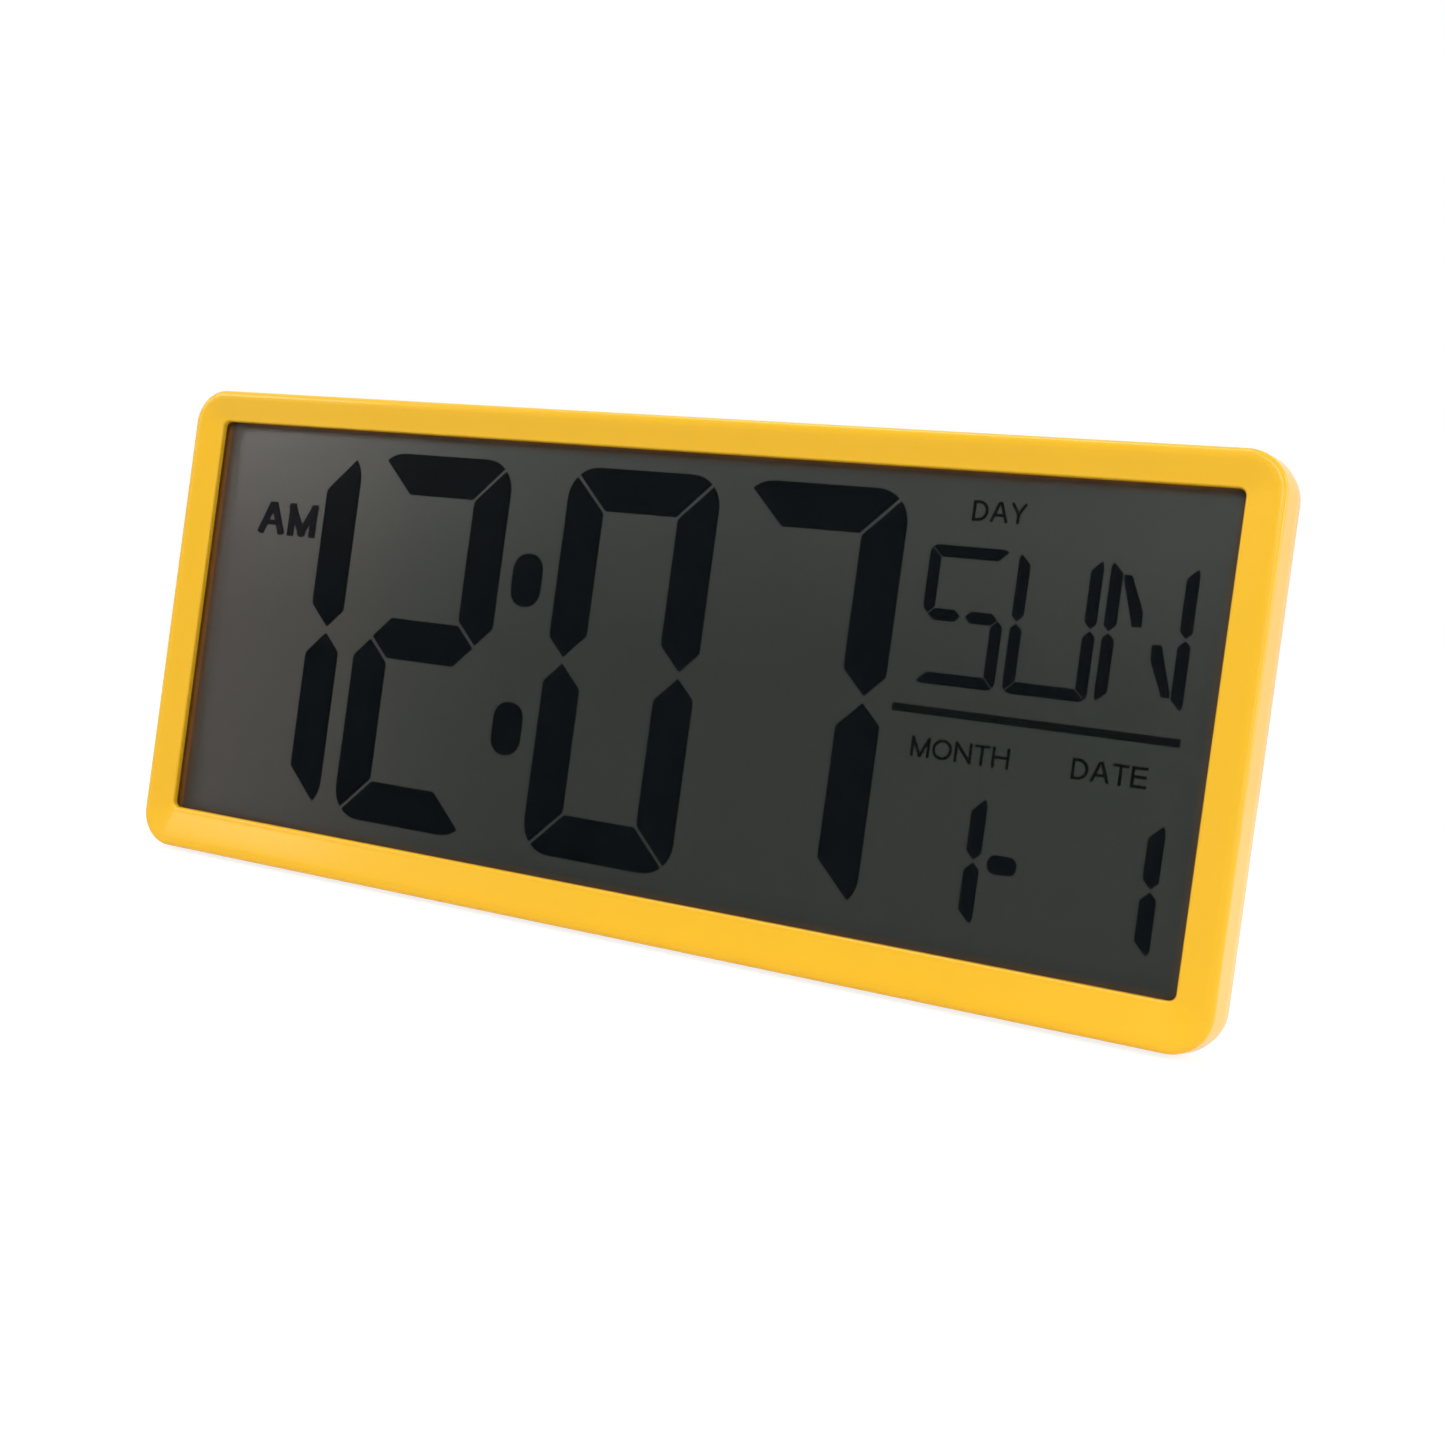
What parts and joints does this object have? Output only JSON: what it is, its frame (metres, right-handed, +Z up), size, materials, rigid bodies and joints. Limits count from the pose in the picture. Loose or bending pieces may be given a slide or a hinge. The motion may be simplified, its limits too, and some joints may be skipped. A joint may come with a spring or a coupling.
{
  "type": "digital wall clock",
  "caption": "Wide digital wall clock with a large liquid crystal display in a dished yellow bezel, a battery bay, setting buttons, keyholes and a fold-out leg on its back.",
  "frame": {"origin": "under the middle of the case at the level of its bottom face, half way through its overall depth", "axes": "+X to the viewer's right, +Y from the viewer into the wall, +Z up"},
  "size_m": [0.366, 0.03, 0.16],
  "materials": {
    "yellow_shell": "satin",
    "black_foam": "matte",
    "polariser_film": "anti-glare",
    "display_glass": "clear",
    "grey_sealant": "matte",
    "dark_segment": "matte",
    "printed_legend": "matte",
    "reflector_film": "satin",
    "white_plastic": "matte",
    "elastomer": "matte",
    "green_board": "solder mask",
    "screw_steel": "zinc plated",
    "black_epoxy": "satin",
    "nickel": "nickel plated",
    "tan_ceramic": "matte",
    "capacitor_sleeve": "gloss",
    "switch_plastic": "matte",
    "grey_button": "satin",
    "black_cover": "fine texture",
    "cell_can": "plain sleeve",
    "red_insulation": "satin",
    "black_insulation": "satin"
  },
  "bodies": {
    "case": {"front_bezel": "yellow_shell", "window_gasket": "black_foam", "front_polariser": "polariser_film", "lcd_front_glass": "display_glass", "lcd_seal": "grey_sealant", "time_segments": "dark_segment", "colon_dots": "dark_segment", "day_segments": "dark_segment", "date_segments": "dark_segment", "legend_marks": "printed_legend", "lcd_rear_glass": "display_glass", "rear_reflector": "reflector_film", "lcd_tray": "white_plastic", "zebra_strip": "elastomer", "main_board": "green_board", "board_screws": "screw_steel", "chip_blob": "black_epoxy", "quartz_crystal": "nickel", "chip_capacitors": "tan_ceramic", "filter_capacitor": "capacitor_sleeve", "switch_bodies": "switch_plastic", "rear_cover": "black_cover", "case_screws": "screw_steel", "upper_battery": "cell_can", "lower_battery": "cell_can", "positive_contact": "nickel", "negative_contact": "nickel", "link_contact": "nickel", "red_lead": "red_insulation", "black_lead": "black_insulation", "stand_pin": "screw_steel"},
    "door": {"battery_door": "black_cover"},
    "stand": {"stand_leg": "black_cover"},
    "mode_key": {"mode_button": "grey_button", "mode_plunger": "switch_plastic"},
    "set_key": {"set_button": "grey_button", "set_plunger": "switch_plastic"},
    "up_key": {"up_button": "grey_button", "up_plunger": "switch_plastic"},
    "down_key": {"down_button": "grey_button", "down_plunger": "switch_plastic"}
  },
  "joints": [
    {"name": "door_hinge", "type": "hinge", "parent": "case", "child": "door", "pos_m": [0.1, 0.015, 0.06065], "axis": [-1, 0, 0], "range_deg": [0, 75]},
    {"name": "stand_hinge", "type": "hinge", "parent": "case", "child": "stand", "pos_m": [0, 0.0126, 0.066], "axis": [1, 0, 0], "range_deg": [0, 31]},
    {"name": "mode_press", "type": "slide", "parent": "case", "child": "mode_key", "axis": [0, -1, 0], "range_m": [0, 0.0004], "stiffness_N_per_m": 1500, "springref_m": -0.0005},
    {"name": "set_press", "type": "slide", "parent": "case", "child": "set_key", "axis": [0, -1, 0], "range_m": [0, 0.0004], "stiffness_N_per_m": 1500, "springref_m": -0.0005},
    {"name": "up_press", "type": "slide", "parent": "case", "child": "up_key", "axis": [0, -1, 0], "range_m": [0, 0.0004], "stiffness_N_per_m": 1500, "springref_m": -0.0005},
    {"name": "down_press", "type": "slide", "parent": "case", "child": "down_key", "axis": [0, -1, 0], "range_m": [0, 0.0004], "stiffness_N_per_m": 1500, "springref_m": -0.0005}
  ]
}
